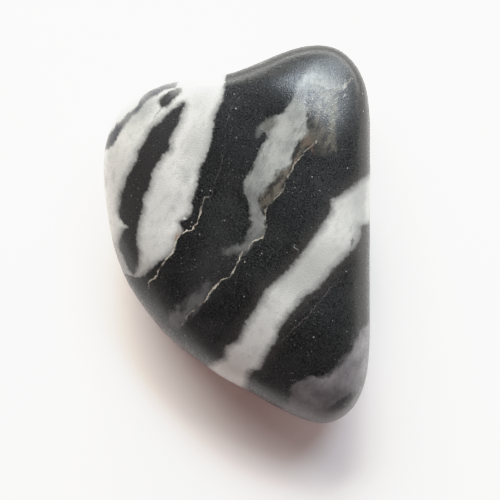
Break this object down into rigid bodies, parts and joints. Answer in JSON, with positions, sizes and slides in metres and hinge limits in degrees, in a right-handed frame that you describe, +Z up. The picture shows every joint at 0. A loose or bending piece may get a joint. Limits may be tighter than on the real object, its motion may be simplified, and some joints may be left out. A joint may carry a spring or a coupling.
{
  "type": "tumbled zebra jasper stone",
  "caption": "Loose tumbled pebble of black stone with white and grey bands, rounded and softly faceted, lying on its flattest face.",
  "frame": {"origin": "middle of the bounding box of the resting stone, at its foot, in the plane of the flat face that it lies on", "axes": "+Z straight up, away from the flat face; +Y along the stone, towards its broader and lighter end; +X across it, towards its long straight side"},
  "size_m": [0.019, 0.027, 0.009],
  "materials": {
    "polished_jasper": "tumble polished, black with white and grey bands"
  },
  "bodies": {
    "root": {"zebra_jasper": "polished_jasper"}
  },
  "joints": []
}
